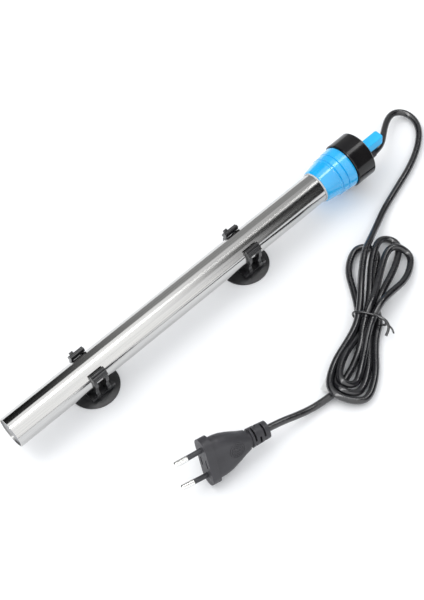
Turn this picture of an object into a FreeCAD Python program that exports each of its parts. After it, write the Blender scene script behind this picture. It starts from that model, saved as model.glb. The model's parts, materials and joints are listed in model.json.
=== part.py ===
import FreeCAD, Part

import math
import os

import Sketcher

from FreeCAD import Placement, Rotation, Vector

# Submersible aquarium heater: a steel tube with a blue boot and a black cap at one end, a
# temperature knob on the cap, two clips with suction cups, and a tied mains lead with a plug.
# Millimetres. +X runs along the tube from its closed end to the knob, +Z is up, and z = 0 is
# the plane of the suction cups' rims. The origin is under the middle of the heater.

doc = FreeCAD.newDocument("AquariumHeater")

# ---------------------------------------------------------------- driving dimensions
DIMENSIONS = {
    "origin_x": 166.0,          # from the tube's closed end to the origin
    "axis_z": 20.7,             # height of the tube's axis
    "tube_outer": 11.0,         # tube radius outside
    "tube_wall": 0.8,
    "tube_length": 284.0,
    "end_recess": 0.9,          # the end disc sits this far inside the rim
    "end_thick": 1.2,
    "ring_start": 267.4,        # white sealing ring in front of the boot
    "ring_width": 0.9,
    "ring_outer": 11.5,
    "boot_start": 268.3,
    "boot_length": 25.1,
    "boot_mouth": 12.3,
    "boot_rear": 15.9,
    "cap_start": 293.8,
    "cap_length": 16.2,
    "cap_outer": 17.0,
    "cap_wall": 1.8,
    "knob_shaft": 2.3,
    "knob_gap": 0.06,
    "knob_flange": 5.2,
    "knob_tip": 331.0,
    "knob_half_width": 3.8,
    "knob_height": 7.8,
    "spindle_radius": 1.5,
    "spindle_start": 256.0,
    "gland_drop": 10.4,         # the cord leaves this far under the tube's axis
    "gland_side": -1.5,
    "gland_base": 3.8,
    "gland_tip": 2.9,
    "gland_length": 14.0,
    "cord_radius": 2.4,
    "bung_start": 264.0,
    "bung_length": 18.0,
    "core_start": 16.0,
    "core_length": 140.0,
    "core_radius": 5.4,
    "winding_radius": 6.1,
    "sleeve_inner": 7.4,
    "sleeve_outer": 8.4,
    "spacer_width": 4.0,
    "board_start": 172.0,
    "board_length": 80.0,
    "board_width": 14.0,
    "board_thick": 1.6,
    "clip_front_x": 64.0,
    "clip_rear_x": 198.5,
    "clip_width": 11.0,
    "clip_inner": 11.3,
    "clip_outer": 13.2,
    "arm_width": 2.4,
    "window_inner": 7.2,        # the gap between the arms starts this far from the middle
    "base_length": 18.5,
    "base_width": 24.0,
    "base_bottom": 5.0,
    "base_thick": 1.6,
    "pocket_top": 8.5,
    "pocket_radius": 4.8,
    "neck_hole": 3.3,
    "neck_radius": 3.0,
    "stud_radius": 4.1,
    "cup_radius": 17.3,
    "plug_width": 33.6,
    "plug_thick": 13.7,
    "plug_x": -92.6,
    "plug_y": -99.0,
    "plug_z": 16.6,             # the plug leans on the rim of its collar
    "plug_yaw": 170.3,
    "plug_pitch": -7.7,
    "plug_roll": -62.6,
    "pin_radius": 2.0,          # of the bare metal end
    "pin_neck": 1.4,            # of the metal inside its sleeve and the body
    "pin_sleeve_radius": 1.7,
    "pin_length": 19.0,
    "pin_half_pitch": 9.3,
    "pin_toe_in": 1.7,          # degrees that each pin leans towards the other
    "pin_sleeve": 10.0,
    "pin_root": 12.0,           # length of the pin inside the body
}

sheet = doc.addObject("Spreadsheet::Sheet", "dims")
for row, (alias, value) in enumerate(DIMENSIONS.items(), start=1):
    sheet.set("A%d" % row, alias)
    sheet.set("B%d" % row, str(value))
    sheet.setAlias("B%d" % row, alias)
doc.recompute()


def dim(alias):
    """The value of one cell of the sheet."""
    return float(getattr(sheet, alias))


def bound(text):
    """A formula in which every alias is read from the sheet."""
    words = sorted(DIMENSIONS, key=len, reverse=True)
    marked = text
    for number, word in enumerate(words):
        marked = marked.replace(word, "\x01%d\x02" % number)
    for number, word in enumerate(words):
        marked = marked.replace("\x01%d\x02" % number, "dims." + word)
    return marked


pieces = []


def publish(shape_object, label):
    """Names a finished sub-part; its label is its file's name."""
    shape_object.Label = label
    pieces.append(shape_object)
    return shape_object


# ---------------------------------------------------------------- builders
ALONG_X = Rotation(Vector(0, 1, 0), 90)


def rod(name, start, length, radius, side="0", rise="axis_z"):
    """A cylinder along X, placed by formulas measured from the tube's closed end."""
    item = doc.addObject("Part::Cylinder", name)
    item.Placement = Placement(Vector(), ALONG_X)
    item.setExpression("Radius", bound(radius))
    item.setExpression("Height", bound(length))
    item.setExpression("Placement.Base.x", bound("(%s) - origin_x" % start))
    item.setExpression("Placement.Base.y", bound(side))
    item.setExpression("Placement.Base.z", bound(rise))
    return item


def post(name, centre, bottom, height, radius):
    """A cylinder along Z."""
    item = doc.addObject("Part::Cylinder", name)
    item.setExpression("Radius", bound(radius))
    item.setExpression("Height", bound(height))
    item.setExpression("Placement.Base.x", bound("(%s) - origin_x" % centre[0]))
    item.setExpression("Placement.Base.y", bound(centre[1]))
    item.setExpression("Placement.Base.z", bound(bottom))
    return item


def block(name, start, corner_y, corner_z, length, width, height):
    """A box, placed by its lowest corner."""
    item = doc.addObject("Part::Box", name)
    item.setExpression("Length", bound(length))
    item.setExpression("Width", bound(width))
    item.setExpression("Height", bound(height))
    item.setExpression("Placement.Base.x", bound("(%s) - origin_x" % start))
    item.setExpression("Placement.Base.y", bound(corner_y))
    item.setExpression("Placement.Base.z", bound(corner_z))
    return item


def taper(name, start, length, radius_a, radius_b, side="0", rise="axis_z"):
    """A cone along X."""
    item = doc.addObject("Part::Cone", name)
    item.Placement = Placement(Vector(), ALONG_X)
    item.setExpression("Radius1", bound(radius_a))
    item.setExpression("Radius2", bound(radius_b))
    item.setExpression("Height", bound(length))
    item.setExpression("Placement.Base.x", bound("(%s) - origin_x" % start))
    item.setExpression("Placement.Base.y", bound(side))
    item.setExpression("Placement.Base.z", bound(rise))
    return item


def ring(name, start, mean_radius, wire_radius):
    """A torus about the tube's axis."""
    item = doc.addObject("Part::Torus", name)
    item.Placement = Placement(Vector(), ALONG_X)
    item.setExpression("Radius1", bound(mean_radius))
    item.setExpression("Radius2", bound(wire_radius))
    item.setExpression("Placement.Base.x", bound("(%s) - origin_x" % start))
    item.setExpression("Placement.Base.z", bound("axis_z"))
    return item


def cut(name, base, *tools):
    """base with every tool taken away, one after the other."""
    result = base
    for number, tool in enumerate(tools):
        step = doc.addObject("Part::Cut", "%s_%d" % (name, number))
        step.Base = result
        step.Tool = tool
        result = step
    return result


def fuse(name, *shapes):
    """One solid from several that touch."""
    item = doc.addObject("Part::MultiFuse", name)
    item.Shapes = list(shapes)
    item.Refine = True
    return item


def origin_plane(body, role):
    for feature in body.Origin.OriginFeatures:
        if feature.Role == role:
            return feature


def value_of(formula):
    """The number that a formula of sheet aliases gives now."""
    return float(sheet.evalExpression(bound(formula)))


def outline(body, name, role, corners):
    """A closed sketch whose corners are held to the sheet by two formulas each."""
    sketch = body.newObject("Sketcher::SketchObject", name)
    sketch.AttachmentSupport = [(origin_plane(body, role), "")]
    sketch.MapMode = "FlatFace"
    places = [Vector(value_of(across), value_of(up), 0) for across, up in corners]
    count = len(places)
    for number in range(count):
        side = Part.LineSegment(places[number], places[(number + 1) % count])
        sketch.addGeometry(side, False)
    for number in range(count):
        following = (number + 1) % count
        sketch.addConstraint(Sketcher.Constraint("Coincident", number, 2, following, 1))
    for number, (across, up) in enumerate(corners):
        hold(sketch, "DistanceX", number, across)
        hold(sketch, "DistanceY", number, up)
    return sketch


def hold(sketch, kind, number, formula):
    """Ties one coordinate of a corner to its formula, or to the axis where it is nought."""
    value = value_of(formula)
    if abs(value) < 1e-9:
        axis = -2 if kind == "DistanceX" else -1
        sketch.addConstraint(Sketcher.Constraint("PointOnObject", number, 1, axis))
        return
    index = sketch.addConstraint(Sketcher.Constraint(kind, -1, 1, number, 1, value))
    sketch.setExpression("Constraints[%d]" % index, bound(formula))


def turned(name, corners, centre=None):
    """A body turned about the tube's axis, or about an upright axis at centre."""
    body = doc.addObject("PartDesign::Body", name)
    sketch = outline(body, name + "_outline", "XZ_Plane", corners)
    turn = body.newObject("PartDesign::Revolution", name + "_turn")
    turn.Profile = sketch
    turn.ReferenceAxis = (origin_plane(body, "X_Axis" if centre is None else "Z_Axis"), [""])
    turn.Angle = 360
    body.Tip = turn
    if centre is None:
        body.setExpression("Placement.Base.x", bound("-origin_x"))
        body.setExpression("Placement.Base.z", bound("axis_z"))
    else:
        body.setExpression("Placement.Base.x", bound("%s - origin_x" % centre))
    return body


def rounded(name, base, radius, picks):
    """Rounds the edges of base that picks chooses."""
    doc.recompute()
    chosen = [i + 1 for i, edge in enumerate(base.Shape.Edges) if picks(edge)]
    item = doc.addObject("Part::Fillet", name)
    item.Base = base
    item.Edges = [(number, radius, radius) for number in chosen]
    return item


# ---------------------------------------------------------------- steel tube
def make_tube():
    outside = rod("tube_outside", "0", "tube_length", "tube_outer")
    inside = rod("tube_inside", "-1", "tube_length + 2", "tube_outer - tube_wall")
    publish(cut("tube_shell", outside, inside), "tube_shell")
    disc = rod("end_disc", "end_recess", "end_thick", "tube_outer - tube_wall")
    publish(disc, "tube_end_disc")
    ring_outside = rod("seal_outside", "ring_start", "ring_width", "ring_outer")
    ring_inside = rod("seal_inside", "ring_start - 1", "ring_width + 2", "tube_outer")
    publish(cut("seal_ring", ring_outside, ring_inside), "seal_ring")


# ---------------------------------------------------------------- boot and cap
def make_boot():
    """A soft boot that flares from the tube to the cap in a cone and two ribbed bands."""
    start = "boot_start"
    inner = "tube_outer"
    steps = [
        ("0", inner),
        ("0", "boot_mouth - 0.4"),
        ("0.5", "boot_mouth"),
        ("1.2", "boot_mouth + 0.3"),
        ("10.8", "boot_rear - 1.7"),
        ("11.1", "boot_rear - 1.3"),
        ("12.0", "boot_rear - 1.2"),
        ("12.3", "boot_rear - 1.7"),
        ("12.8", "boot_rear - 1.7"),
        ("13.1", "boot_rear - 1.2"),
        ("17.1", "boot_rear - 0.7"),
        ("17.4", "boot_rear - 1.2"),
        ("17.9", "boot_rear - 1.2"),
        ("18.2", "boot_rear - 0.6"),
        ("23.9", "boot_rear"),
        ("24.2", "boot_rear - 0.3"),
        ("boot_length", "boot_rear - 0.3"),
        ("boot_length", inner),
    ]
    corners = [("%s + %s" % (start, along), radius) for along, radius in steps]
    publish(turned("boot", corners), "boot")


def make_cap():
    """A cup that closes on the boot, with an outlet for the knob and one for the cord."""
    end = "cap_start + cap_length"
    corners = [
        ("cap_start", "tube_outer + 0.4"),
        ("cap_start", "cap_outer - 0.6"),
        ("cap_start + 0.6", "cap_outer - 0.1"),
        (end + " - 0.8", "cap_outer"),
        (end, "cap_outer - 0.8"),
        (end, "knob_shaft + knob_gap"),
        (end + " - cap_wall", "knob_shaft + knob_gap"),
        (end + " - cap_wall", "cap_outer - cap_wall"),
        ("cap_start + 1.8", "cap_outer - cap_wall"),
        ("cap_start + 1.8", "tube_outer + 0.4"),
    ]
    cup = turned("cap_cup", corners)
    outlet = rod("cap_outlet", end + " - 2 * cap_wall", "cap_wall * 3", "gland_base - 1",
                 "gland_side", "axis_z - gland_drop")
    publish(cut("cap_housing", cup, outlet), "cap_housing")


def make_gland():
    """The tapered strain relief that the cord comes out of."""
    rise = "axis_z - gland_drop"
    end = "cap_start + cap_length"
    cone = taper("gland_cone", end, "gland_length", "gland_base", "gland_tip",
                 "gland_side", rise)
    root = rod("gland_root", end + " - cap_wall - 1", "cap_wall + 2", "gland_base - 1",
               "gland_side", rise)
    grooves = []
    for number in range(3):
        where = "%s + 3 + 3.4 * %d" % (end, number)
        outer = rod("gland_groove_%d" % number, where, "0.9", "gland_base + 1",
                    "gland_side", rise)
        core = rod("gland_core_%d" % number, where + " - 1", "3", "gland_tip - 0.1",
                   "gland_side", rise)
        grooves.append(cut("gland_slot_%d" % number, outer, core))
    solid = fuse("gland_solid", cone, root)
    publish(cut("cord_gland", solid, *grooves), "cord_gland")


def make_knob():
    """A long square-sided grip on a shaft, with the spindle that it turns."""
    end = "cap_start + cap_length"
    flange = rod("knob_flange_disc", end + " + 0.3", "1.5", "knob_flange")
    shaft = rod("knob_shaft_rod", end + " - cap_wall - 1.5", "cap_wall + 3", "knob_shaft")
    grip = block("knob_grip", end + " + 0.8", "-knob_half_width",
                 "axis_z - knob_height / 2", "knob_tip - (%s) - 0.8" % end,
                 "2 * knob_half_width", "knob_height")
    tip_x = dim("knob_tip") - dim("origin_x")

    def tip_corners(edge):
        box = edge.BoundBox
        return box.XLength < 0.01 and box.YLength < 0.01 and box.XMin > tip_x - 0.1

    soft_tip = rounded("knob_soft_tip", grip, 1.6, tip_corners)
    doc.recompute()

    def rims(edge):
        box = edge.BoundBox
        return box.ZLength < 0.01 and box.XMax > tip_x - 20 and box.XLength > 0.01

    eased = rounded("knob_eased", soft_tip, 0.9, rims)
    publish(fuse("knob_solid", flange, shaft, eased), "temperature_knob")
    seal = ring("knob_seal", end + " - cap_wall - 0.75", "knob_shaft + knob_gap + 0.6", "0.6")
    publish(seal, "knob_o_ring")
    length = "(%s) - cap_wall - 1.5 - spindle_start" % end
    publish(rod("spindle", "spindle_start", length, "spindle_radius"), "adjusting_spindle")


def make_bung():
    """The rubber bung that seals the tube round the spindle and the leads."""
    bung = rod("bung_rod", "bung_start", "bung_length", "tube_outer - tube_wall")
    bore = rod("bung_bore", "bung_start - 1", "bung_length + 2", "spindle_radius + 0.05")
    holes = []
    for number, side in enumerate(("-3", "3")):
        holes.append(rod("bung_hole_%d" % number, "bung_start - 1", "bung_length + 2",
                         "1.1", side, "axis_z - 5"))
    publish(cut("sealing_bung", bung, bore, *holes), "sealing_bung")


# ---------------------------------------------------------------- inside the tube
def make_element():
    """The ceramic core, its winding, the insulating sleeve and the discs that centre them."""
    core = rod("core_rod", "core_start", "core_length", "core_radius")
    bore = rod("core_bore", "core_start - 1", "core_length + 2", "1.6")
    publish(cut("ceramic_core", core, bore), "ceramic_core")
    layer = rod("winding_layer", "core_start + 6", "core_length - 12", "winding_radius")
    inside = rod("winding_inside", "core_start", "core_length", "core_radius")
    publish(cut("heating_winding", layer, inside), "heating_winding")
    outer = rod("mica_outside", "core_start + 3", "core_length - 6", "sleeve_outer")
    inner = rod("mica_inside", "core_start", "core_length", "sleeve_inner")
    publish(cut("insulating_sleeve", outer, inner), "insulating_sleeve")
    for label, start in (("front_spacer", "core_start - spacer_width - 1"),
                         ("rear_spacer", "core_start + core_length + 1")):
        disc = rod(label + "_disc", start, "spacer_width", "tube_outer - tube_wall - 0.1")
        hole = rod(label + "_hole", start + " - 1", "spacer_width + 2", "2.2")
        publish(cut(label, disc, hole), label)


def make_thermostat():
    """A board with a bimetal arm, a pair of contacts, a magnet, a lamp and two leads."""
    top = "axis_z - 4"
    publish(block("board", "board_start", "-board_width / 2", "axis_z - 4 - board_thick",
                  "board_length", "board_width", "board_thick"), "thermostat_board")
    publish(block("arm_post_block", "board_start + 6", "-3", top, "6", "6", "3"), "arm_post")
    publish(block("arm_strip", "board_start + 6", "-3", "axis_z - 1", "46", "6", "0.6"),
            "bimetal_strip")
    publish(post("moving_tip", ("board_start + 49", "0"), "axis_z - 1.8", "0.8", "1.4"),
            "moving_contact")
    publish(post("fixed_tip", ("board_start + 49", "0"), top, "1.9", "1.6"),
            "fixed_contact")
    publish(block("magnet_block", "board_start + 41", "-2", top, "4", "4", "2.2"),
            "snap_magnet")
    publish(rod("lamp", "board_start + 58", "14", "2.3", "-3.6", "axis_z - 1.5"),
            "indicator_lamp")
    yoke_base = block("yoke_base", "board_start + 70", "1.5", top, "7", "5", "2")
    yoke_arm = block("yoke_arm", "board_start + 74", "-2.6", top, "3", "9.1", "8")
    yoke_hole = rod("yoke_hole", "board_start + 70", "12", "spindle_radius + 0.05")
    publish(cut("spindle_yoke", fuse("yoke_solid", yoke_base, yoke_arm), yoke_hole),
            "spindle_yoke")
    for label, side in (("live_lead", "-3"), ("neutral_lead", "3")):
        publish(rod(label, "board_start + board_length + 1", "36", "1", side, "axis_z - 5"),
                label)


# ---------------------------------------------------------------- clips and suction cups
# The ridges of a clip's lip: how far out from the tube's axis, how far above it, radius.
LIP_RIDGES = [("10.3", "8.4", 1.1), ("11.9", "7.3", 1.1), ("12.9", "5.7", 0.9)]


def make_clip(label, centre):
    """Two curved arms that grip the tube, joined by a ridged lip on each side, over a plate
    that holds the cup's stud."""
    width = "clip_width"
    low = "%s - clip_width / 2" % centre
    plate_top = "base_bottom + base_thick"
    outer = rod(label + "_outer", low, width, "clip_outer")
    plate = block(label + "_plate", "%s - base_length / 2" % centre, "-base_width / 2",
                  "base_bottom", "base_length", "base_width", "base_thick")
    web = block(label + "_web", low, "-7", "base_bottom", width, "14", "4.5")
    parts = [outer, plate, web]
    for number, offset in enumerate(("-clip_width / 2", "clip_width / 2 - arm_width")):
        rib = block("%s_rib_%d" % (label, number), "%s + %s" % (centre, offset),
                    "-clip_outer + 0.6", "base_bottom + 0.5", "arm_width",
                    "2 * clip_outer - 1.2", "axis_z - base_bottom - 2")
        parts.append(rib)
    for number, side in enumerate(("-1", "1")):
        for ridge, (out, up, radius) in enumerate(LIP_RIDGES):
            parts.append(rod("%s_lip_%d_%d" % (label, number, ridge), low, width,
                             str(radius), "%s * %s" % (side, out), "axis_z + %s" % up))
        rail_y = "%s * (base_width / 2 - 0.8) - 0.8" % side
        parts.append(block("%s_rail_%d" % (label, number),
                           "%s - base_length / 2" % centre, rail_y, plate_top,
                           "base_length", "1.6", "1.1"))
    parts.append(rod(label + "_catch", "%s - 3.6" % centre, "2.6", "1.3", "13.4",
                     "axis_z + 7.2"))
    body = fuse(label + "_body", *parts)
    bore = rod(label + "_bore", low + " - 9", "clip_width + 18", "clip_inner")
    mouth = block(label + "_mouth", low + " - 1", "-9.2", "axis_z", "clip_width + 2", "18.4",
                  "20")
    pocket = post(label + "_pocket", (centre, "0"), plate_top,
                  "pocket_top - base_bottom - base_thick", "pocket_radius")
    slot = block(label + "_slot", centre, "-pocket_radius", plate_top,
                 "clip_width", "2 * pocket_radius", "pocket_top - base_bottom - base_thick")
    hole = post(label + "_hole", (centre, "0"), "base_bottom - 1", "base_thick + 2",
                "neck_hole")
    tools = [bore, mouth, pocket, slot, hole]
    for number, side in enumerate(("-1", "1")):
        window_y = "%s * (window_inner + 5) - 5" % side
        tools.append(block("%s_window_%d" % (label, number), low + " + arm_width", window_y,
                           plate_top, "clip_width - 2 * arm_width", "10",
                           "axis_z + 3.6 - base_bottom - base_thick"))
        tools.append(rod("%s_hollow_%d" % (label, number), low + " - 1", "clip_width + 2",
                         "5.2", "%s * (clip_outer + 3.6)" % side, "axis_z - 7.6"))
    publish(cut(label + "_cut", body, *tools), label)


def make_cup(label, centre):
    """A shallow suction cup with a stud that turns in its clip's plate."""
    corners = [
        ("0", "1.7"),
        ("6", "1.5"),
        ("12", "0.8"),
        ("cup_radius - 1.2", "0"),
        ("cup_radius", "0"),
        ("cup_radius", "0.9"),
        ("cup_radius - 1.5", "1.2"),
        ("12", "2.0"),
        ("8", "3.2"),
        ("5.2", "4.6"),
        ("neck_radius", "4.7"),
        ("neck_radius", "6.9"),
        ("stud_radius", "6.9"),
        ("stud_radius - 0.4", "8.1"),
        ("0", "8.1"),
    ]
    publish(turned(label + "_body", corners, centre), label)


# ---------------------------------------------------------------- plug
PLUG_PLACE = Placement(
    Vector(dim("plug_x"), dim("plug_y"), dim("plug_z")),
    Rotation(dim("plug_yaw"), dim("plug_pitch"), dim("plug_roll")))


def stadium(width, thick, x):
    """The plug's round-ended section at one station along it."""
    radius = thick / 2
    reach = width / 2 - radius
    corners = [Vector(x, reach, radius), Vector(x, -reach, radius),
               Vector(x, -reach, -radius), Vector(x, reach, -radius)]
    sides = [
        Part.LineSegment(corners[0], corners[1]),
        Part.Arc(corners[1], Vector(x, -reach - radius, 0), corners[2]),
        Part.LineSegment(corners[2], corners[3]),
        Part.Arc(corners[3], Vector(x, reach + radius, 0), corners[0]),
    ]
    return Part.Wire([side.toShape() for side in sides])


def set_feature(label, shape, place):
    """A sub-part whose shape comes from Part's own functions."""
    item = doc.addObject("Part::Feature", label + "_shape")
    item.Shape = shape
    item.Placement = place
    return publish(item, label)


def x_rod(start, length, radius, side=0.0, lean=0.0):
    """A cylinder along the plug's X axis that leans by some degrees about its root."""
    solid = Part.makeCylinder(radius, length, Vector(start, side, 0), Vector(1, 0, 0))
    solid.rotate(Vector(0, side, 0), Vector(0, 0, 1), lean)
    return solid


RELIEF_START = 31.0    # from the plug's front face
RELIEF_END = 46.0


def make_plug():
    wide, thick = dim("plug_width"), dim("plug_thick")
    collar_depth = 6.0
    stations = [(-collar_depth, wide - 4.0, thick - 1.2), (-11.0, wide - 4.6, thick - 0.7),
                (-15.0, wide - 6.2, thick - 0.7), (-19.0, wide - 9.2, thick - 1.0),
                (-23.0, wide - 12.6, thick - 1.5), (-27.0, wide - 16.6, thick - 2.0),
                (-RELIEF_START, 14.0, 11.2)]
    collar = Part.makeLoft([stadium(wide, thick, 0.0), stadium(wide, thick, -collar_depth)],
                           True, True)
    bell = Part.makeLoft([stadium(w, t, x) for x, w, t in stations], True, True)
    body = collar.fuse(bell).removeSplitter()
    lean = dim("pin_toe_in")
    root = dim("pin_root")
    half_pitch = dim("pin_half_pitch")
    covered = dim("pin_sleeve")
    buried = 2.0
    for side, name in ((1, "left"), (-1, "right")):
        place_y = side * half_pitch
        turn = -side * lean
        neck = x_rod(-root, root + covered, dim("pin_neck"), place_y, turn)
        bare = x_rod(covered, dim("pin_length") - covered, dim("pin_radius"), place_y, turn)
        rims = [e for e in bare.Edges if e.Length < 13 and e.BoundBox.XMin > covered + 1]
        bare = bare.makeFillet(1.2, rims)
        jacket = x_rod(-buried, buried + covered, dim("pin_sleeve_radius"), place_y, turn)
        set_feature("plug_pin_" + name, neck.fuse(bare), PLUG_PLACE)
        set_feature("pin_sleeve_" + name, jacket.cut(neck), PLUG_PLACE)
        body = body.cut(neck).cut(jacket)
    for side in (1, -1):
        recess = Part.makeBox(1.2, 6.0, 1.4)
        recess.translate(Vector(-1.2, -3.0, side * 3.2 - 0.7))
        body = body.cut(recess)
    set_feature("plug_body", body, PLUG_PLACE)
    make_relief()


def make_relief():
    """The slotted, square-sided strain relief that leads the cord out of the plug."""
    root = stadium(11.4, 9.8, -RELIEF_START)
    neck = stadium(11.0, 9.6, -RELIEF_START - 2.2)
    front = stadium(13.4, 11.0, -RELIEF_START - 2.2)
    back = stadium(12.0, 10.2, -RELIEF_END)
    relief = Part.makeLoft([root, neck], True, True)
    relief = relief.fuse(Part.makeLoft([front, back], True, True)).removeSplitter()
    core = Part.makeCylinder(2.9, 20.0, Vector(-RELIEF_START + 1, 0, 0), Vector(-1, 0, 0))
    slot_width = 1.3
    for number in range(3):
        x = -RELIEF_START - 5.0 - 3.4 * number
        for side in (1, -1):
            shift = side * (1 if number % 2 else -1) * 2.4
            top = Part.makeBox(slot_width, 6.4, 4.6, Vector(x, shift - 3.2, 1.6))
            top.rotate(Vector(), Vector(1, 0, 0), 0 if side > 0 else 180)
            flank = Part.makeBox(slot_width, 5.0, 5.0, Vector(x, 2.0, -shift - 2.5))
            flank.rotate(Vector(), Vector(1, 0, 0), 0 if side > 0 else 180)
            relief = relief.cut(top.cut(core)).cut(flank.cut(core))
    set_feature("plug_strain_relief", relief, PLUG_PLACE)


# ---------------------------------------------------------------- cord
# The lead leaves the cap, makes a loop on the table, runs back over the hank's upper loops
# and into its waist; the tail comes out from under the lower loops and goes to the plug.
LEAD_ROUTE = [
    (158.0, -1.5, 10.3), (163.8, -1.2, 10.3), (169.6, 1.4, 10.0), (175.8, 6.0, 9.4),
    (182.6, 10.8, 8.4), (189.8, 14.8, 7.3), (197.0, 16.4, 6.0), (203.0, 12.9, 4.7),
    (205.2, 6.0, 3.5), (203.2, -1.8, 2.7), (197.2, -9.4, 2.6), (186.0, -17.4, 2.6),
    (170.0, -25.0, 2.6), (151.0, -30.9, 2.6), (131.0, -37.4, 2.9), (116.0, -44.6, 5.0),
    (103.0, -51.0, 8.3), (94.0, -55.0, 9.9),
]
TAIL_ROUTE = [
    (6.0, -115.8, 3.0), (-5.0, -115.0, 2.9), (-15.5, -113.6, 3.5), (-26.2, -111.5, 6.1),
    (-37.6, -108.6, 9.0), (-47.4, -106.7, 10.4),
]


def route_wire(route, label):
    """Straight runs joined by arcs as large as their runs allow."""
    points = [Vector(*place) for place in route]
    edges = []
    radii = []
    previous = points[0]
    for number in range(1, len(points) - 1):
        before = points[number - 1] - points[number]
        after = points[number + 1] - points[number]
        reach = 0.45 * min(before.Length, after.Length)
        before_dir = Vector(before).normalize()
        after_dir = Vector(after).normalize()
        turn = math.pi - before_dir.getAngle(after_dir)
        radius = reach / math.tan(turn / 2)
        radii.append(round(radius, 1))
        begin = points[number] + before_dir * reach
        finish = points[number] + after_dir * reach
        inward = (before_dir + after_dir).normalize()
        centre = points[number] + inward * (radius / math.cos(turn / 2))
        middle = centre - inward * radius
        edges.append(Part.LineSegment(previous, begin).toShape())
        edges.append(Part.Arc(begin, middle, finish).toShape())
        previous = finish
    edges.append(Part.LineSegment(previous, points[-1]).toShape())
    print(label, "radii", radii)
    return Part.Wire(edges)


def make_run(label, route):
    """One free stretch of the cord."""
    radius = dim("cord_radius")
    path = route_wire(route, label)
    start = Vector(*route[0])
    section = Part.Wire([Part.makeCircle(radius, start, Vector(*route[1]) - start)])
    solid = path.makePipeShell([section], True, False)
    expected = math.pi * radius ** 2 * path.Length
    print(label, "length", round(path.Length, 1), "volume ratio",
          round(solid.Volume / expected, 4))
    set_feature(label, solid, Placement())


def ellipse_slab(centre, long_radius, short_radius, turn, height, base=0.0):
    """A flat oval block that stands for one end of the hank."""
    direction = Vector(math.cos(math.radians(turn)), math.sin(math.radians(turn)), 0)
    middle = Vector(centre[0], centre[1], base)
    across = Vector(-direction.y, direction.x, 0)
    curve = Part.Ellipse(middle + direction * long_radius, middle + across * short_radius,
                         middle)
    face = Part.Face(Part.Wire([curve.toShape()]))
    return face.extrude(Vector(0, 0, height))


WAIST_HEIGHT = 12.6


def make_hank():
    """The tied hank as one solid: an oval of loops at each end and the bundle between."""
    upper = ellipse_slab((90.0, -72.5), 31.0, 20.0, 30.0, 12.2)
    lower = ellipse_slab((32.5, -110.0), 33.0, 17.0, 31.0, 12.0)
    waist = ellipse_slab((58.0, -93.5), 18.0, 10.5, 32.0, WAIST_HEIGHT)
    set_feature("cord_hank", upper.fuse([lower, waist]).removeSplitter(), Placement())


def make_tie():
    """The wire tie round the hank's waist, with its twisted ends."""
    band = ellipse_slab((58.0, -93.5), 12.3, 1.6, 122.0, WAIST_HEIGHT + 1.6)
    core = ellipse_slab((58.0, -93.5), 18.0, 10.5, 32.0, WAIST_HEIGHT)
    ends = Part.makeCylinder(1.3, 20.0, Vector(60.5, -100.0, 12.0), Vector(-0.35, -1, -0.5))
    set_feature("twist_tie", band.fuse(ends).cut(core), Placement())


def make_tag():
    """A blank paper label folded round the tail beside the hank."""
    tag = Part.makeBox(17.0, 12.0, 0.4, Vector(-8.5, -6.0, 0.3))
    place = Placement(Vector(9.0, -109.0, 0), Rotation(Vector(0, 0, 1), 24))
    set_feature("cord_tag", tag, place)


make_tube()
make_boot()
make_cap()
make_gland()
make_knob()
make_bung()
make_element()
make_thermostat()
make_clip("clip_front", "clip_front_x")
make_clip("clip_rear", "clip_rear_x")
make_cup("suction_cup_front", "clip_front_x")
make_cup("suction_cup_rear", "clip_rear_x")
make_plug()
make_run("cord_lead", LEAD_ROUTE)
make_run("cord_tail", TAIL_ROUTE)
make_hank()
make_tie()
make_tag()

doc.recompute()
for item in doc.Objects:
    if "Invalid" in item.State or "Error" in item.State:
        raise RuntimeError("%s failed: %s" % (item.Name, item.State))
os.makedirs("parts", exist_ok=True)
for piece in pieces:
    shape = piece.Shape
    if shape.isNull() or not shape.isValid():
        raise RuntimeError("%s has no valid shape" % piece.Label)
    shape.exportStep("parts/%s.step" % piece.Label)
    print(piece.Label, "solids", len(shape.Solids), "volume", round(shape.Volume, 1))
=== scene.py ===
import json
import math

import bpy
from mathutils import Euler, Matrix, Vector


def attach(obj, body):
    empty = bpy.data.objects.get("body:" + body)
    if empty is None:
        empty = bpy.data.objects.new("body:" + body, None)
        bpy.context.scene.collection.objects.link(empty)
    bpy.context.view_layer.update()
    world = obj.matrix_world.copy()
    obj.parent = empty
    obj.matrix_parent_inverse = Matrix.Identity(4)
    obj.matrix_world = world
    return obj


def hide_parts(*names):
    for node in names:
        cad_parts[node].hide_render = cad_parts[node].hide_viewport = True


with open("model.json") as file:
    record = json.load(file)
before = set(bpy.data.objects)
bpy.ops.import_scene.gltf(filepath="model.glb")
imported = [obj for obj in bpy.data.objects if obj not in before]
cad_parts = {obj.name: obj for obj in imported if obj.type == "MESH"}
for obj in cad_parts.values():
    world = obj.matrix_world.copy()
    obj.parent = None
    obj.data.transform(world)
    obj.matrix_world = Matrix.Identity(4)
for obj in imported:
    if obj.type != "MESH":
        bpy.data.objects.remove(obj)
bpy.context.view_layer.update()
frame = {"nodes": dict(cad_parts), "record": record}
scene = bpy.context.scene
nodes = frame["nodes"]

MM = 0.001


def mm(x, y, z):
    """A place in metres from millimetres in the heater's frame."""
    return Vector((x * MM, y * MM, z * MM))


# ------------------------------------------------------------------ camera
CAMERA_TARGET = mm(-10.4, -16.6, 20.0)
CAMERA_AZIMUTH = -34.85
CAMERA_ELEVATION = 56.5
CAMERA_DISTANCE = 0.8616
CAMERA_ROLL = -9.02
CAMERA_LENS = 52.48
CAMERA_NEAREST = 0.01
SENSOR_HEIGHT = 24.0


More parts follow.
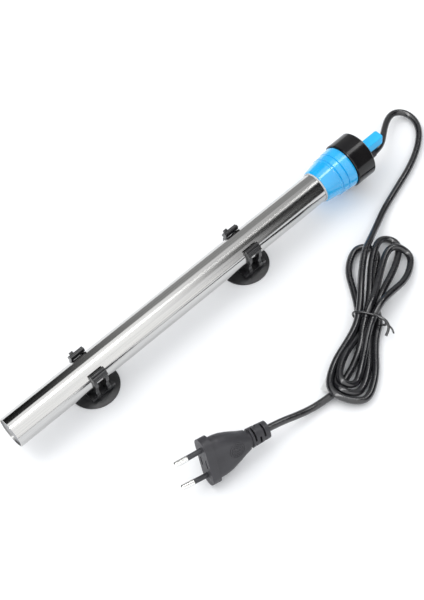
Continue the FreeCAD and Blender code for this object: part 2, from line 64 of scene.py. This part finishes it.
def make_camera():
    """The scene's camera, rolled a little about its own line of sight."""
    azimuth = math.radians(CAMERA_AZIMUTH)
    elevation = math.radians(CAMERA_ELEVATION)
    roll = math.radians(CAMERA_ROLL)
    back = Vector((math.sin(azimuth) * math.cos(elevation),
                   -math.cos(azimuth) * math.cos(elevation),
                   math.sin(elevation)))
    right = Vector((0, 0, 1)).cross(back).normalized()
    up = back.cross(right)
    rolled_right = right * math.cos(roll) + up * math.sin(roll)
    rolled_up = up * math.cos(roll) - right * math.sin(roll)
    data = bpy.data.cameras.new("camera")
    data.sensor_fit = "VERTICAL"
    data.sensor_height = SENSOR_HEIGHT
    data.lens = CAMERA_LENS
    data.clip_start = CAMERA_NEAREST
    data.dof.use_dof = False
    camera = bpy.data.objects.new("camera", data)
    scene.collection.objects.link(camera)
    turn = Matrix((rolled_right, rolled_up, back)).transposed()
    camera.matrix_world = Matrix.Translation(CAMERA_TARGET + back * CAMERA_DISTANCE) \
        @ turn.to_4x4()
    scene.camera = camera


make_camera()

# ------------------------------------------------------------------ cord's line
CORD_DIAMETER = 0.0048
HANK_CENTRE = mm(58.0, -93.5, 0)
HANK_TURN = math.radians(31.0)

# From the cap, round the free loop and up on to the hank.
LEAD_ROUTE = [
    (158.0, -1.5, 10.3), (163.8, -1.2, 10.3), (169.6, 1.4, 10.0), (175.8, 6.0, 9.4),
    (182.6, 10.8, 8.4), (189.8, 14.8, 7.3), (197.0, 16.4, 6.0), (203.0, 12.9, 4.7),
    (205.2, 6.0, 3.5), (203.2, -1.8, 2.7), (197.2, -9.4, 2.6), (186.0, -17.4, 2.6),
    (170.0, -25.0, 2.6), (151.0, -30.9, 2.6), (131.0, -37.4, 2.9), (116.0, -44.6, 5.0),
    (103.0, -51.0, 8.3), (94.0, -55.0, 9.9),
]
# Over the upper loops and down to the waist, in the hank's own lengthwise and sidewise
# directions.
LEAD_ON_HANK = [(39.0, 13.6, 9.6), (25.0, 11.4, 9.6), (11.0, 8.6, 8.4)]
# Down from the waist through the lower loops to the hank's end, in the same directions.
TAIL_IN_HANK = [(-9.0, 2.4, 7.3), (-18.0, 0.9, 5.8), (-27.0, 1.2, 3.2), (-38.0, 2.6, 2.6),
                (-48.7, 5.6, 2.6)]
# From the hank to the plug.
TAIL_ROUTE = [
    (6.0, -115.8, 3.0), (-5.0, -115.0, 2.9), (-15.5, -113.6, 3.5), (-26.2, -111.5, 6.1),
    (-37.6, -108.6, 9.0), (-47.4, -106.7, 10.4),
]

# One loop's form, from the waist out to its tip and back: how far along, and how far aside.
LOOP_FORM = [(0.16, 0.48), (0.34, 0.78), (0.62, 1.02), (0.905, 1.0), (1.0, 0.43),
             (1.0, -0.43), (0.905, -1.0), (0.62, -1.02), (0.34, -0.78), (0.16, -0.48)]

# Each turn: where it passes the waist on its way down, then its lower loop (reach, middle,
# half width, heights), where it passes on its way up, and its upper loop.
TURNS = [
    {"down": (7.2, 7.3), "up": (-7.2, 2.6),
     "lower": (62.5, 0.5, 13.7, (7.3, 7.6, 6.6, 7.3, 7.4, 5.0, 2.6, 2.6, 2.6, 2.6)),
     "upper": (57.0, 14.4, 8.8, (2.6, 2.6, 2.6, 2.6, 2.6, 2.6, 2.6, 2.6, 2.6, 2.6))},
    {"down": (7.2, 2.6), "up": (-2.4, 2.6),
     "lower": (57.3, 1.6, 9.4, (2.6, 2.6, 2.6, 4.4, 7.4, 4.5, 2.6, 2.6, 2.6, 2.6)),
     "upper": (66.5, 0.6, 7.9, (7.6, 7.4, 5.6, 2.6, 2.6, 3.6, 7.4, 7.4, 7.0, 6.4))},
    {"down": (2.4, 2.6), "up": (-2.4, 7.3),
     "lower": (52.0, 3.1, 6.3, (2.6, 4.6, 6.8, 7.6, 7.8, 5.4, 2.8, 5.6, 7.0, 7.2)),
     "upper": (59.5, -8.2, 8.8, (11.6, 9.0, 4.2, 2.6, 3.6, 7.6, 7.8, 8.0, 9.2, 11.4))},
]
LAST_PASS = (2.4, 7.3)
OPENING_RATE = 1.6    # how fast a loop opens out from the waist to its own form


def on_hank(along, aside, height):
    """A place on the hank from its lengthwise and sidewise directions, in millimetres."""
    x = along * math.cos(HANK_TURN) - aside * math.sin(HANK_TURN)
    y = along * math.sin(HANK_TURN) + aside * math.cos(HANK_TURN)
    return HANK_CENTRE + mm(x, y, height)


def loop_points(direction, begin, end, loop):
    """One loop of a turn. direction is 1 for the upper loops and -1 for the lower."""
    reach, middle, half_width, heights = loop
    sides = LOOP_FORM if direction < 0 else [(a, -b) for a, b in LOOP_FORM]
    points = []
    for number, ((along, aside), height) in enumerate(zip(sides, heights)):
        share = min(1.0, along * OPENING_RATE)
        waist = begin if number < len(sides) / 2 else end
        across = waist * (1 - share) + (middle + half_width * aside) * share
        points.append(on_hank(direction * reach * along, across, height))
    return points


def cord_points():
    """The cord's control points from the cap to the plug."""
    points = [mm(*place) for place in LEAD_ROUTE]
    points += [on_hank(*place) for place in LEAD_ON_HANK]
    next_passes = [turn["down"] for turn in TURNS[1:]] + [LAST_PASS]
    for turn, following in zip(TURNS, next_passes):
        down, up = turn["down"], turn["up"]
        points.append(on_hank(0.0, *down))
        points += loop_points(-1, down[0], up[0], turn["lower"])
        points.append(on_hank(0.0, *up))
        points += loop_points(1, up[0], following[0], turn["upper"])
    points.append(on_hank(0.0, *LAST_PASS))
    points += [on_hank(*place) for place in TAIL_IN_HANK]
    points += [mm(*place) for place in TAIL_ROUTE]
    return points


def spline_object(name, points, radius, material):
    """A round cord or wire on one smooth line."""
    data = bpy.data.curves.new(name, "CURVE")
    data.dimensions = "3D"
    spline = data.splines.new("NURBS")
    spline.points.add(len(points) - 1)
    for point, place in zip(spline.points, points):
        point.co = (place[0], place[1], place[2], 1.0)
    spline.order_u = 3
    spline.use_endpoint_u = True
    spline.resolution_u = 8
    data.bevel_depth = radius
    data.bevel_resolution = 5
    data.use_fill_caps = True
    item = bpy.data.objects.new(name, data)
    scene.collection.objects.link(item)
    data.materials.append(material)
    return item


# ------------------------------------------------------------------ materials
RAMP_BEGIN = 0.3          # the share of the noise where a ramp's first tone ends
RAMP_END = 0.7            # and where its second is reached
DRIFT_SCALE = 60.0        # patches of colour on moulded pieces
UNEVEN_SCALE = 240.0      # patches of gloss on moulded pieces
STREAK_SCALE = 900.0      # grain of metal, before it is drawn out
GLOSS_SCALE = 420.0       # patches of gloss on metal
STREAK_DEPTH = 0.00002


def shader(name, **values):
    """A material and its parts; the numbers go straight on the shader's sockets."""
    material = bpy.data.materials.new(name)
    material.use_nodes = True
    tree = material.node_tree
    principled = tree.nodes["Principled BSDF"]
    for socket, value in values.items():
        principled.inputs[socket.replace("_", " ")].default_value = value
    return material, tree, principled


def noise(tree, scale, detail=4.0, stretch=(1, 1, 1), roughness=0.5):
    """Fine noise in object space."""
    place = tree.nodes.new("ShaderNodeTexCoord")
    mapping = tree.nodes.new("ShaderNodeMapping")
    mapping.inputs["Scale"].default_value = stretch
    texture = tree.nodes.new("ShaderNodeTexNoise")
    texture.inputs["Scale"].default_value = scale
    texture.inputs["Detail"].default_value = detail
    texture.inputs["Roughness"].default_value = roughness
    tree.links.new(place.outputs["Object"], mapping.inputs["Vector"])
    tree.links.new(mapping.outputs["Vector"], texture.inputs["Vector"])
    return texture.outputs["Fac"]


def ramp(tree, source, low, high):
    """source mapped to a span of greys or colours."""
    item = tree.nodes.new("ShaderNodeValToRGB")
    stops = item.color_ramp.elements
    stops[0].position = RAMP_BEGIN
    stops[1].position = RAMP_END
    stops[0].color = low if isinstance(low, tuple) else (low, low, low, 1)
    stops[1].color = high if isinstance(high, tuple) else (high, high, high, 1)
    tree.links.new(source, item.inputs["Fac"])
    return item.outputs["Color"]


def bump(tree, principled, source, strength, distance):
    """Lets source stand out of the surface by distance, in metres."""
    item = tree.nodes.new("ShaderNodeBump")
    item.inputs["Strength"].default_value = strength
    item.inputs["Distance"].default_value = distance
    tree.links.new(source, item.inputs["Height"])
    tree.links.new(item.outputs["Normal"], principled.inputs["Normal"])


def plain(name, dark, light, rough_low, rough_high, grain=900.0, strength=0.15,
          depth=0.00006, **values):
    """Moulded plastic or rubber: a little colour drift, uneven gloss and a fine grain."""
    material, tree, principled = shader(name, **values)
    drift = noise(tree, DRIFT_SCALE, 3.0)
    tree.links.new(ramp(tree, drift, dark, light), principled.inputs["Base Color"])
    uneven = noise(tree, UNEVEN_SCALE, 5.0)
    tree.links.new(ramp(tree, uneven, rough_low, rough_high), principled.inputs["Roughness"])
    bump(tree, principled, noise(tree, grain, 3.0), strength, depth)
    return material


def metal(name, tone_low, tone_high, rough_low, rough_high, stretch, strength):
    """Bare metal: streaks or grain in tone, gloss and height."""
    material, tree, principled = shader(name, Metallic=1.0)
    streaks = noise(tree, STREAK_SCALE, 6.0, stretch, 0.65)
    tree.links.new(ramp(tree, streaks, tone_low, tone_high), principled.inputs["Base Color"])
    gloss = noise(tree, GLOSS_SCALE, 4.0, stretch)
    tree.links.new(ramp(tree, gloss, rough_low, rough_high), principled.inputs["Roughness"])
    bump(tree, principled, streaks, strength, STREAK_DEPTH)
    return material


# How far a metal's grain is drawn out along each axis.
LENGTHWISE = (0.012, 1.0, 1.0)
EVENLY = (1.0, 1.0, 1.0)

steel = metal("steel", (0.49, 0.49, 0.49, 1), (0.61, 0.605, 0.59, 1), 0.09, 0.16,
              LENGTHWISE, 0.25)
# The end disc's steel is a darker copy of the tube's steel. Its lower tone is painted shade
# on the end face; its higher roughness is real.
steel_end_painted_shade = metal("steel_end_painted_shade", (0.29, 0.29, 0.30, 1), (0.37, 0.37, 0.37, 1), 0.42, 0.52,
                  EVENLY, 0.3)
pin_metal = metal("pin_metal", (0.78, 0.78, 0.76, 1), (0.9, 0.9, 0.88, 1), 0.16, 0.26,
                  EVENLY, 0.15)
brass = metal("brass", (0.62, 0.45, 0.18, 1), (0.78, 0.6, 0.28, 1), 0.22, 0.34, EVENLY, 0.2)
wire_metal = metal("wire_metal", (0.3, 0.28, 0.27, 1), (0.48, 0.45, 0.43, 1), 0.3, 0.45,
                   EVENLY, 0.2)
blue_rubber = plain("blue_rubber", (0.002, 0.36, 0.74, 1), (0.005, 0.42, 0.82, 1), 0.20, 0.30,
                    600.0, 0.12, Coat_Weight=1.0, Coat_Roughness=0.07)
blue_plastic = plain("blue_plastic", (0.012, 0.43, 0.84, 1), (0.020, 0.49, 0.90, 1), 0.28,
                     0.40, 700.0, 0.1)
cap_black = plain("cap_black", (0.006, 0.006, 0.007, 1), (0.011, 0.010, 0.010, 1), 0.10,
                  0.17, 500.0, 0.05, Specular_IOR_Level=0.36)
clip_black = plain("clip_black", (0.007, 0.007, 0.008, 1), (0.013, 0.013, 0.014, 1), 0.26,
                   0.38, 800.0, 0.2, Coat_Weight=0.4, Coat_Roughness=0.12)
cup_black = plain("cup_black", (0.008, 0.008, 0.009, 1), (0.016, 0.016, 0.017, 1), 0.28,
                  0.42, 700.0, 0.2)
plug_grey = plain("plug_grey", (0.026, 0.025, 0.029, 1), (0.042, 0.041, 0.046, 1), 0.40,
                  0.54, 1400.0, 0.5, 0.00009)
cord_black = plain("cord_black", (0.006, 0.006, 0.008, 1), (0.011, 0.011, 0.013, 1), 0.24,
                   0.34, 900.0, 0.2, Coat_Weight=0.8, Coat_Roughness=0.1)
pin_black = plain("pin_black", (0.03, 0.03, 0.033, 1), (0.045, 0.045, 0.05, 1), 0.35, 0.5)
white_rubber = plain("white_rubber", (0.52, 0.52, 0.51, 1), (0.62, 0.62, 0.60, 1), 0.4, 0.55)
paper = plain("paper", (0.80, 0.80, 0.79, 1), (0.9, 0.9, 0.88, 1), 0.7, 0.85, 500.0, 0.3)
ceramic = plain("ceramic", (0.72, 0.68, 0.6, 1), (0.82, 0.79, 0.72, 1), 0.6, 0.8, 300.0, 0.4)
mica = plain("mica", (0.5, 0.42, 0.3, 1), (0.66, 0.57, 0.43, 1), 0.4, 0.6, 300.0, 0.4)
board = plain("board", (0.36, 0.22, 0.09, 1), (0.46, 0.3, 0.13, 1), 0.45, 0.6, 300.0, 0.3)
magnet = plain("magnet", (0.06, 0.06, 0.065, 1), (0.1, 0.1, 0.1, 1), 0.4, 0.6)
lamp = plain("lamp", (0.8, 0.35, 0.2, 1), (0.9, 0.45, 0.28, 1), 0.08, 0.14,
             Transmission_Weight=0.6)
lead_grey = plain("lead_grey", (0.6, 0.6, 0.6, 1), (0.72, 0.72, 0.72, 1), 0.4, 0.55)

FINISHES = {
    "steel_tube": steel, "blue_boot": blue_rubber, "white_seal": white_rubber,
    "black_cap": cap_black, "blue_knob": blue_plastic, "black_rubber": cup_black,
    "clip_plastic": clip_black, "spindle_brass": brass, "ceramic": ceramic,
    "resistance_wire": wire_metal, "mica": mica, "board": board, "bimetal": brass,
    "magnet": magnet, "lamp_glass": lamp, "lead_insulation": lead_grey,
    "plug_rubber": plug_grey, "pin_metal": pin_metal, "pin_sleeve": pin_black,
    "cord_sheath": cord_black, "tie_wire": cord_black, "paper_tag": paper,
}


def give(item, finish):
    """Gives a CAD node one finish."""
    item.data.materials.clear()
    item.data.materials.append(finish)


def finish_nodes():
    """Gives every CAD node the finish of its slot. The end disc is duller than the tube: it
    is rougher, and its darker steel tone is painted shade on the end face.
    """
    for row in frame["record"]["subparts"]:
        give(nodes[row["node"]], FINISHES[row["material_slot"]])
    give(nodes["tube_end_disc"], steel_end_painted_shade)


finish_nodes()

# ------------------------------------------------------------------ cord piece
cord = spline_object("mains_cord", cord_points(), CORD_DIAMETER / 2, cord_black)
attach(cord, "heater")
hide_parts("cord_lead", "cord_hank", "cord_tail")

# ------------------------------------------------------------------ wire tie
# The tie's loop round the waist: how far aside and how high, as shares of its half width and
# its height. Its two ends are places on the hank. The radii are in metres.
TIE_RING = [(-1.0, 0.2), (-1.05, 0.75), (-0.6, 1.02), (0.0, 1.06), (0.6, 1.02), (1.05, 0.75),
            (1.0, 0.2), (0.6, 0.03), (-0.6, 0.03), (-1.0, 0.2)]
TIE_HALF_WIDTH = 11.0
TIE_HEIGHT = 10.8
TIE_SLANT = 0.6
TIE_LOWEST = 0.9
TIE_LONG_END = [(0.3, -3.0, 11.9), (-1.5, -8.0, 12.0), (-3.0, -12.4, 10.8),
                (-6.5, -14.8, 8.0), (-11.0, -13.4, 6.0)]
TIE_SHORT_END = [(-5.0, -14.0, 9.2), (-5.2, -16.4, 8.0), (-8.4, -18.0, 6.6)]
TIE_LOOP_RADIUS = 0.0007
TIE_LONG_RADIUS = 0.0009
TIE_SHORT_RADIUS = 0.0006


def make_tie():
    """The wire tie: a loop round the waist and two twisted ends."""
    ring = [(TIE_SLANT * aside, aside * TIE_HALF_WIDTH, max(TIE_LOWEST, up * TIE_HEIGHT))
            for aside, up in TIE_RING]
    pieces = []
    for name, places, radius in (("tie_loop", ring, TIE_LOOP_RADIUS),
                                 ("tie_tail", TIE_LONG_END, TIE_LONG_RADIUS),
                                 ("tie_spur", TIE_SHORT_END, TIE_SHORT_RADIUS)):
        points = [on_hank(*place) for place in places]
        pieces.append(spline_object(name, points, radius, cord_black))
    for item in pieces:
        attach(item, "heater")
        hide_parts("twist_tie")
    return pieces


tie_pieces = make_tie()

# ------------------------------------------------------------------ paper tag
TAG_LENGTH = 17.0
TAG_WIDTH = 12.0
TAG_THICKNESS = 0.2
TAG_MIDDLE = (9.0, -109.0)
TAG_TURN = math.radians(24.0)
TAG_CELLS = (14, 4)
TAG_HEIGHT = 0.3     # of its flat half over the table
TAG_CURL = 2.2       # how far its outer end curls up
TAG_TILT = 0.02      # how much it rises for each millimetre sideways


def tag_place(along, across):
    """A place on the tag from its lengthwise and sidewise millimetres."""
    lift = TAG_HEIGHT + TAG_CURL * max(0.0, -along / TAG_LENGTH * 2) ** 2
    x = TAG_MIDDLE[0] + along * math.cos(TAG_TURN) - across * math.sin(TAG_TURN)
    y = TAG_MIDDLE[1] + along * math.sin(TAG_TURN) + across * math.cos(TAG_TURN)
    return mm(x, y, lift + TAG_TILT * across)


def make_tag():
    """The paper tag: a thin sheet whose outer end curls up off the table."""
    columns, rows = TAG_CELLS
    places = [tag_place((column / columns - 0.5) * TAG_LENGTH, (row / rows - 0.5) * TAG_WIDTH)
              for column in range(columns + 1) for row in range(rows + 1)]
    faces = []
    for column in range(columns):
        for row in range(rows):
            first = column * (rows + 1) + row
            faces.append((first, first + rows + 1, first + rows + 2, first + 1))
    data = bpy.data.meshes.new("tag_sheet")
    data.from_pydata(places, [], faces)
    data.materials.append(paper)
    sheet = bpy.data.objects.new("tag_sheet", data)
    scene.collection.objects.link(sheet)
    solid = sheet.modifiers.new("thickness", "SOLIDIFY")
    solid.thickness = TAG_THICKNESS * MM
    solid.offset = 0.0
    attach(sheet, "heater")
    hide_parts("cord_tag")
    return sheet


tag_sheet = make_tag()

# ------------------------------------------------------------------ plug's finger ridges
# The plug's own frame: its front face's middle, and how far it is rolled, pitched and turned.
PLUG_PLACE = mm(-92.6, -99.0, 16.6)
PLUG_TURN = Euler((math.radians(-62.6), math.radians(-7.7), math.radians(170.3)))

# The plug's section at one station, and how it grows towards the front: half its thickness,
# and how far its broad face stays flat to each side.
PLUG_STATION = -19.0
HALF_THICK, THICK_GROWTH = 6.35, 0.0625
HALF_FLAT, FLAT_GROWTH = 5.85, 0.4

RIDGE_MIDDLE = (-21.2, -0.8)
RIDGE_REACHES = (1.4, 2.7, 4.0, 5.3)
RIDGE_SQUASH = 0.9
RIDGE_RADIUS = 0.00034      # metres
RIDGE_STEPS = 24


def on_plug(x, y, z):
    """A place on the plug from its own lengthwise, sidewise and upward millimetres."""
    return PLUG_PLACE + PLUG_TURN.to_matrix() @ mm(x, y, z)


def plug_face(x, y):
    """How high the plug's broad face stands over its middle, in millimetres."""
    half_thick = HALF_THICK + THICK_GROWTH * (x - PLUG_STATION)
    flat = HALF_FLAT + FLAT_GROWTH * (x - PLUG_STATION)
    beyond = max(0.0, abs(y) - flat)
    return math.sqrt(half_thick ** 2 - beyond ** 2)


def make_grip_arcs():
    """Raised finger ridges on the plug's broad face: ovals one inside the other."""
    pieces = []
    for number, reach in enumerate(RIDGE_REACHES):
        points = []
        for step in range(RIDGE_STEPS + 1):
            angle = 2 * math.pi * step / RIDGE_STEPS
            x = RIDGE_MIDDLE[0] + reach * math.cos(angle)
            y = RIDGE_MIDDLE[1] + RIDGE_SQUASH * reach * math.sin(angle)
            points.append(on_plug(x, y, plug_face(x, y)))
        ridge = spline_object("plug_ridge_%d" % (number + 1), points, RIDGE_RADIUS, plug_grey)
        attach(ridge, "heater")
        pieces.append(ridge)
    return pieces


plug_ridges = make_grip_arcs()

# ------------------------------------------------------------------ stage
FLOOR_REACH = 4.0
FLOOR_DROP = 0.0002      # the floor lies this far under the cups' rims
FLOOR_TONE = (0.93, 0.93, 0.93, 1)


def make_stage():
    """A plain white floor that gives no mirror image."""
    mesh = bpy.data.meshes.new("floor")
    mesh.from_pydata([(-FLOOR_REACH, -FLOOR_REACH, 0), (FLOOR_REACH, -FLOOR_REACH, 0),
                      (FLOOR_REACH, FLOOR_REACH, 0), (-FLOOR_REACH, FLOOR_REACH, 0)],
                     [], [(0, 1, 2, 3)])
    floor = bpy.data.objects.new("floor", mesh)
    scene.collection.objects.link(floor)
    material = shader("floor_white", Roughness=0.6, Base_Color=FLOOR_TONE,
                      Specular_IOR_Level=0.0)[0]
    mesh.materials.append(material)
    floor.location.z = -FLOOR_DROP


def area_light(name, place, power, size, size_y):
    """A soft light over the table, turned to the frame's origin, that nothing mirrors."""
    data = bpy.data.lights.new(name, "AREA")
    data.energy = power
    data.shape = "RECTANGLE"
    data.size = size
    data.size_y = size_y
    item = bpy.data.objects.new(name, data)
    scene.collection.objects.link(item)
    item.location = place
    item.visible_glossy = False
    item.rotation_euler = (-Vector(place)).to_track_quat("-Z", "Y").to_euler()


# Cards that polished surfaces mirror. First the span about the tube's axis in degrees, level
# behind the heater being 0 and overhead 90, with its soft edges; then the span along +X, as
# the share of the direction that points there, with its soft edges; then the brightness.
STUDIO_CARDS = [
    ((-25.0, 104.0, 5.0, 14.0), (0.23, 2.0, 0.12, 0.1), 0.50),
    ((58.0, 97.0, 5.0, 10.0), (-2.0, 0.32, 0.1, 0.34), 1.75),
    ((98.0, 128.0, 8.0, 12.0), (-2.0, 0.32, 0.1, 0.05), 1.85),
    ((128.0, 179.0, 12.0, 11.0), (-2.0, 0.35, 0.1, 0.06), 1.75),
    ((84.0, 96.0, 3.0, 3.0), (-2.0, 0.26, 0.1, 0.06), 8.0),
    ((82.0, 97.0, 2.0, 2.0), (0.446, 0.62, 0.004, 0.03), 9.0),
]
STUDIO_DARK = 0.012
EVEN_COLOUR = (0.95, 0.97, 1.0, 1)
EVEN_STRENGTH = 1.0


def calculate(tree, operation, first, second):
    """One step of arithmetic on sockets or numbers."""
    item = tree.nodes.new("ShaderNodeMath")
    item.operation = operation
    for number, value in enumerate((first, second)):
        if isinstance(value, (int, float)):
            item.inputs[number].default_value = value
        else:
            tree.links.new(value, item.inputs[number])
    return item.outputs[0]


def soft_span(tree, source, low, high, low_edge, high_edge):
    """1 between low and high, falling smoothly to 0 outside them."""
    sides = []
    for begin, end in ((low - low_edge / 2, low + low_edge / 2),
                       (high + high_edge / 2, high - high_edge / 2)):
        step = tree.nodes.new("ShaderNodeMapRange")
        step.interpolation_type = "SMOOTHSTEP"
        step.inputs["From Min"].default_value = begin
        step.inputs["From Max"].default_value = end
        tree.links.new(source, step.inputs["Value"])
        sides.append(step.outputs["Result"])
    return calculate(tree, "MULTIPLY", *sides)


def make_world():
    """An even light for the scene, and cards for the polished surfaces to mirror."""
    world = bpy.data.worlds.new("world")
    scene.world = world
    world.use_nodes = True
    tree = world.node_tree
    even = tree.nodes["Background"]
    even.inputs["Color"].default_value = EVEN_COLOUR
    even.inputs["Strength"].default_value = EVEN_STRENGTH
    direction = tree.nodes.new("ShaderNodeTexCoord")
    axes = tree.nodes.new("ShaderNodeSeparateXYZ")
    tree.links.new(direction.outputs["Generated"], axes.inputs["Vector"])
    turn = calculate(tree, "ARCTAN2", axes.outputs["Z"], axes.outputs["Y"])
    degrees = calculate(tree, "MULTIPLY", turn, math.degrees(1.0))
    total = STUDIO_DARK
    for around, along, brightness in STUDIO_CARDS:
        card = calculate(tree, "MULTIPLY", soft_span(tree, degrees, *around),
                         soft_span(tree, axes.outputs["X"], *along))
        total = calculate(tree, "ADD", calculate(tree, "MULTIPLY", card, brightness), total)
    cards = tree.nodes.new("ShaderNodeBackground")
    tree.links.new(total, cards.inputs["Strength"])
    path = tree.nodes.new("ShaderNodeLightPath")
    mix = tree.nodes.new("ShaderNodeMixShader")
    tree.links.new(path.outputs["Is Glossy Ray"], mix.inputs["Fac"])
    tree.links.new(even.outputs[0], mix.inputs[1])
    tree.links.new(cards.outputs[0], mix.inputs[2])
    tree.links.new(mix.outputs[0], tree.nodes["World Output"].inputs["Surface"])


make_world()
make_stage()
area_light("key", (-0.35, 0.75, 1.1), power=9.0, size=1.5, size_y=1.2)
area_light("fill", (0.3, -0.9, 1.2), power=3.0, size=0.9, size_y=0.9)
scene.view_settings.view_transform = "Standard"
